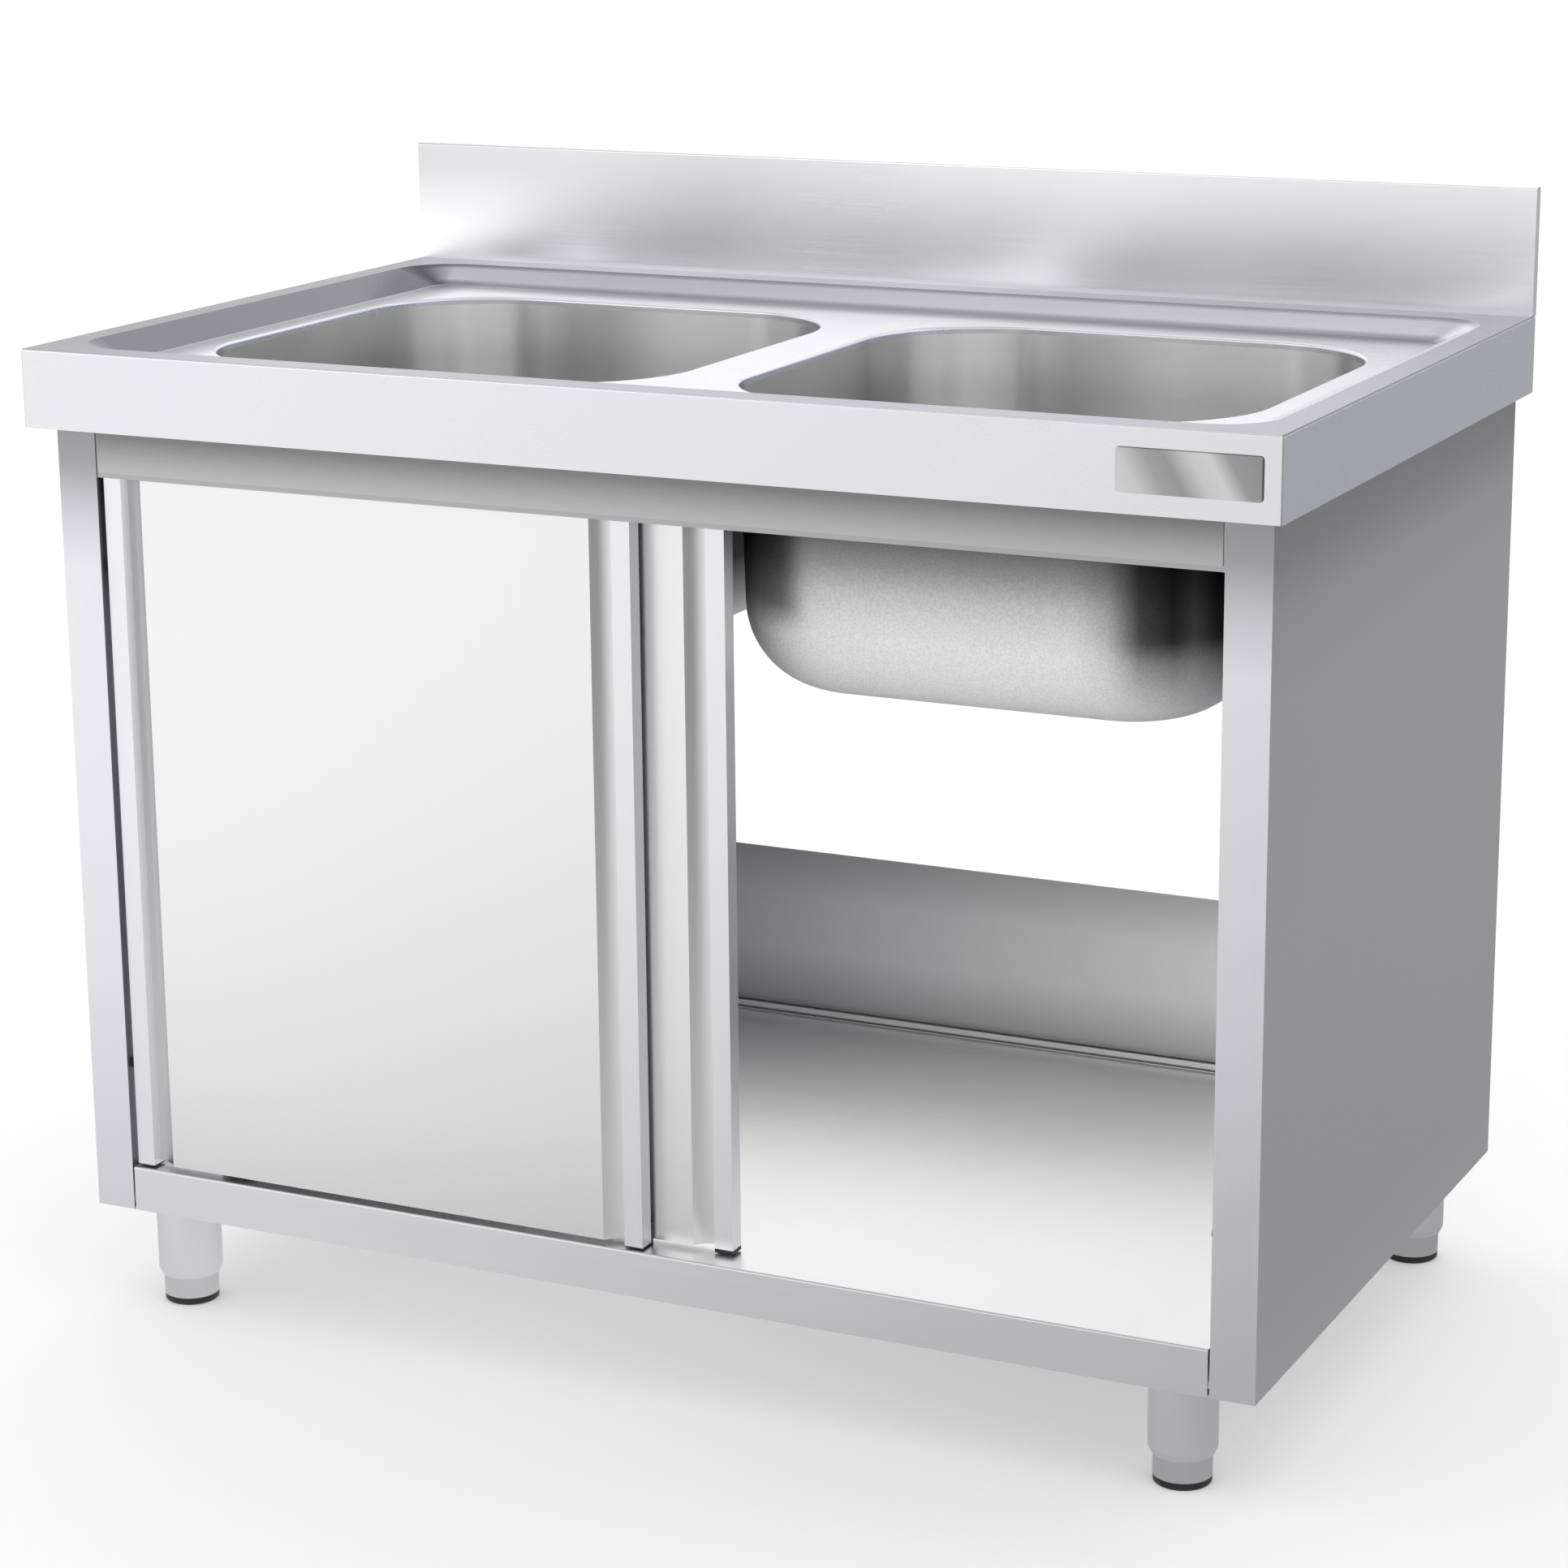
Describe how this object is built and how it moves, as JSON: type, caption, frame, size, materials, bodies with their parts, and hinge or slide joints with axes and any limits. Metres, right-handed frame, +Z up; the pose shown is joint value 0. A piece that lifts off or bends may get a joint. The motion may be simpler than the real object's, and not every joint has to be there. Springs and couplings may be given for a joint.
{
  "type": "kitchen sink unit",
  "caption": "Stainless sink unit: recessed worktop with side-by-side square bowls and splashback on an open-backed cabinet with sliding doors and adjustable feet.",
  "frame": {"origin": "on the floor, under the middle of the worktop's outline", "axes": "+X to the user's right along the worktop, +Y from the user to the wall, +Z up"},
  "size_m": [1, 0.6006, 0.87],
  "materials": {
    "worktop_steel": "satin ground stainless sheet, grain along the length",
    "bowl_steel": "drawn stainless, polished inside",
    "cabinet_steel": "satin stainless sheet",
    "door_steel": "satin stainless sheet, grain upright",
    "track_steel": "plain folded stainless",
    "foot_steel": "drawn stainless tube",
    "plate_steel": "polished blank plate",
    "waste_chrome": "bright chromed brass",
    "nut_brass": "plain turned brass",
    "screw_steel": "plated steel",
    "black_plastic": "black moulded plastic",
    "roller_plastic": "white moulded nylon",
    "black_rubber": "black rubber"
  },
  "bodies": {
    "cabinet": {"worktop": "worktop_steel", "splashback": "worktop_steel", "badge_plate": "plate_steel", "left_side_panel": "cabinet_steel", "right_side_panel": "cabinet_steel", "front_stiffener": "cabinet_steel", "rear_stiffener": "cabinet_steel", "centre_stiffener": "cabinet_steel", "worktop_screws": "screw_steel", "header_rail": "cabinet_steel", "rear_rail": "cabinet_steel", "bottom_shelf": "cabinet_steel", "shelf_stiffener": "cabinet_steel", "rear_upstand": "cabinet_steel", "door_track": "track_steel", "door_guide": "black_plastic", "door_buffers": "black_rubber", "left_basin": "bowl_steel", "left_waste_body": "waste_chrome", "left_waste_gasket": "black_rubber", "left_waste_nut": "nut_brass", "left_strainer": "waste_chrome", "right_basin": "bowl_steel", "right_waste_body": "waste_chrome", "right_waste_gasket": "black_rubber", "right_waste_nut": "nut_brass", "right_strainer": "waste_chrome", "front_left_foot_tube": "foot_steel", "front_right_foot_tube": "foot_steel", "rear_left_foot_tube": "foot_steel", "rear_right_foot_tube": "foot_steel"},
    "front_door": {"front_door_panel": "door_steel", "front_door_back": "door_steel", "front_door_left_stile": "door_steel", "front_door_right_stile": "door_steel", "front_door_glides": "black_plastic", "front_door_hangers": "track_steel", "front_door_roller_axles": "screw_steel"},
    "front_door_left_wheel": {"front_door_left_wheel": "roller_plastic"},
    "front_door_right_wheel": {"front_door_right_wheel": "roller_plastic"},
    "rear_door": {"rear_door_panel": "door_steel", "rear_door_back": "door_steel", "rear_door_left_stile": "door_steel", "rear_door_right_stile": "door_steel", "rear_door_glides": "black_plastic", "rear_door_hangers": "track_steel", "rear_door_roller_axles": "screw_steel"},
    "rear_door_left_wheel": {"rear_door_left_wheel": "roller_plastic"},
    "rear_door_right_wheel": {"rear_door_right_wheel": "roller_plastic"},
    "front_left_foot": {"front_left_foot_insert": "foot_steel", "front_left_foot_pad": "black_plastic"},
    "front_right_foot": {"front_right_foot_insert": "foot_steel", "front_right_foot_pad": "black_plastic"},
    "rear_left_foot": {"rear_left_foot_insert": "foot_steel", "rear_left_foot_pad": "black_plastic"},
    "rear_right_foot": {"rear_right_foot_insert": "foot_steel", "rear_right_foot_pad": "black_plastic"}
  },
  "joints": [
    {"name": "front_door_slide", "type": "slide", "parent": "cabinet", "child": "front_door", "axis": [1, 0, 0], "range_m": [0, 0.447]},
    {"name": "front_door_left_wheel_spin", "type": "hinge", "parent": "front_door", "child": "front_door_left_wheel", "pos_m": [-0.3895, -0.2625, 0.7025], "axis": [0, 1, 0], "range_deg": [0, 3330]},
    {"name": "front_door_right_wheel_spin", "type": "hinge", "parent": "front_door", "child": "front_door_right_wheel", "pos_m": [-0.0575, -0.2625, 0.7025], "axis": [0, 1, 0], "range_deg": [0, 3330]},
    {"name": "rear_door_slide", "type": "slide", "parent": "cabinet", "child": "rear_door", "axis": [1, 0, 0], "range_m": [-0.0665, 0.3805]},
    {"name": "rear_door_left_wheel_spin", "type": "hinge", "parent": "rear_door", "child": "rear_door_left_wheel", "pos_m": [-0.323, -0.2515, 0.7025], "axis": [0, 1, 0], "range_deg": [-499, 2835]},
    {"name": "rear_door_right_wheel_spin", "type": "hinge", "parent": "rear_door", "child": "rear_door_right_wheel", "pos_m": [0.009, -0.2515, 0.7025], "axis": [0, 1, 0], "range_deg": [-499, 2835]},
    {"name": "front_left_foot_screw", "type": "slide", "parent": "cabinet", "child": "front_left_foot", "axis": [0, 0, 1], "range_m": [-0.014, 0.017]},
    {"name": "front_right_foot_screw", "type": "slide", "parent": "cabinet", "child": "front_right_foot", "axis": [0, 0, 1], "range_m": [-0.014, 0.017]},
    {"name": "rear_left_foot_screw", "type": "slide", "parent": "cabinet", "child": "rear_left_foot", "axis": [0, 0, 1], "range_m": [-0.014, 0.017]},
    {"name": "rear_right_foot_screw", "type": "slide", "parent": "cabinet", "child": "rear_right_foot", "axis": [0, 0, 1], "range_m": [-0.014, 0.017]}
  ],
  "couplings": [
    {"joint": "front_door_left_wheel_spin", "follows": "front_door_slide", "rad_per_m": 129.87},
    {"joint": "front_door_right_wheel_spin", "follows": "front_door_slide", "rad_per_m": 129.87},
    {"joint": "rear_door_left_wheel_spin", "follows": "rear_door_slide", "rad_per_m": 129.87},
    {"joint": "rear_door_right_wheel_spin", "follows": "rear_door_slide", "rad_per_m": 129.87}
  ]
}
